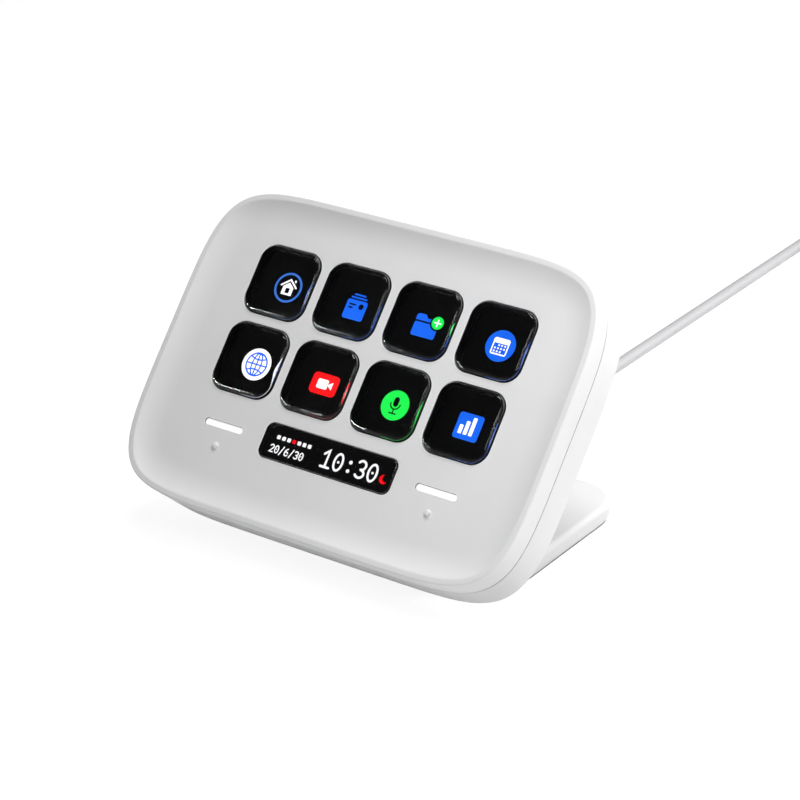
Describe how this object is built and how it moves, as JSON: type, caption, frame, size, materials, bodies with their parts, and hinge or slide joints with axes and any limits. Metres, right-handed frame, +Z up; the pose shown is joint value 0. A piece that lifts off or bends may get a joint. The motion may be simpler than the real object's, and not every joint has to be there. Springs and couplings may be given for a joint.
{
  "type": "desk key pad with picture keys",
  "caption": "Leaning white desk slab with sprung clear picture keys, an info bar and touch points, on a fixed weighted foot, with an attached cord.",
  "frame": {"origin": "on the desk under the middle of the slab and foot, cord left out", "axes": "+X right along the keys, +Y back, away from the user, +Z up"},
  "size_m": [0.1106, 0.3073, 0.0719],
  "materials": {
    "white_shell": "fine satin white",
    "white_stand": "fine satin white",
    "clear_key": "polished clear acrylic",
    "black_skirt": "matte black",
    "clear_lens": "polished clear acrylic",
    "diffuser": "milky, lit from behind",
    "display": "glossy black",
    "silicone": "matte",
    "board": "lacquered circuit board",
    "ribbon": "amber film",
    "chip": "matte black",
    "socket": "ivory",
    "lamp": "clear yellow",
    "sheet_metal": "plated sheet",
    "weight_steel": "raw plate",
    "dark_steel": "blackened",
    "bright_steel": "nickel plated",
    "pad_rubber": "matte black",
    "boot_rubber": "light grey",
    "cord_jacket": "light grey satin"
  },
  "bodies": {
    "body": {"front_shell": "white_shell", "rear_shell": "white_shell", "stand": "white_stand", "foot_weight": "weight_steel", "foot_pad": "pad_rubber", "shell_screws": "dark_steel", "stand_screws": "dark_steel", "tray_screws": "bright_steel", "board_screws": "bright_steel", "key_mat": "silicone", "key_board": "board", "display_panel": "display", "display_tray": "sheet_metal", "display_flex": "ribbon", "info_lens": "clear_lens", "info_display": "display", "info_flex": "ribbon", "light_bar_left": "diffuser", "light_bar_right": "diffuser", "touch_board_left": "board", "touch_board_right": "board", "side_leds": "lamp", "main_board": "board", "board_chips": "chip", "board_sockets": "socket", "cord_boot": "boot_rubber", "cord": "cord_jacket", "cord_coil": "cord_jacket", "cord_tail": "cord_jacket", "plug_grip": "boot_rubber", "plug_shell": "bright_steel"},
    "pressed_key_1": {"key_1": "clear_key", "skirt_1": "black_skirt"},
    "pressed_key_2": {"key_2": "clear_key", "skirt_2": "black_skirt"},
    "pressed_key_3": {"key_3": "clear_key", "skirt_3": "black_skirt"},
    "pressed_key_4": {"key_4": "clear_key", "skirt_4": "black_skirt"},
    "pressed_key_5": {"key_5": "clear_key", "skirt_5": "black_skirt"},
    "pressed_key_6": {"key_6": "clear_key", "skirt_6": "black_skirt"},
    "pressed_key_7": {"key_7": "clear_key", "skirt_7": "black_skirt"},
    "pressed_key_8": {"key_8": "clear_key", "skirt_8": "black_skirt"}
  },
  "joints": [
    {"name": "key_1_press", "type": "slide", "parent": "body", "child": "pressed_key_1", "axis": [0, 0.766, -0.6428], "range_m": [0, 0.001], "stiffness_N_per_m": 300, "springref_m": -0.001, "deforming": ["key_mat"]},
    {"name": "key_2_press", "type": "slide", "parent": "body", "child": "pressed_key_2", "axis": [0, 0.766, -0.6428], "range_m": [0, 0.001], "stiffness_N_per_m": 300, "springref_m": -0.001},
    {"name": "key_3_press", "type": "slide", "parent": "body", "child": "pressed_key_3", "axis": [0, 0.766, -0.6428], "range_m": [0, 0.001], "stiffness_N_per_m": 300, "springref_m": -0.001},
    {"name": "key_4_press", "type": "slide", "parent": "body", "child": "pressed_key_4", "axis": [0, 0.766, -0.6428], "range_m": [0, 0.001], "stiffness_N_per_m": 300, "springref_m": -0.001},
    {"name": "key_5_press", "type": "slide", "parent": "body", "child": "pressed_key_5", "axis": [0, 0.766, -0.6428], "range_m": [0, 0.001], "stiffness_N_per_m": 300, "springref_m": -0.001},
    {"name": "key_6_press", "type": "slide", "parent": "body", "child": "pressed_key_6", "axis": [0, 0.766, -0.6428], "range_m": [0, 0.001], "stiffness_N_per_m": 300, "springref_m": -0.001},
    {"name": "key_7_press", "type": "slide", "parent": "body", "child": "pressed_key_7", "axis": [0, 0.766, -0.6428], "range_m": [0, 0.001], "stiffness_N_per_m": 300, "springref_m": -0.001},
    {"name": "key_8_press", "type": "slide", "parent": "body", "child": "pressed_key_8", "axis": [0, 0.766, -0.6428], "range_m": [0, 0.001], "stiffness_N_per_m": 300, "springref_m": -0.001}
  ]
}
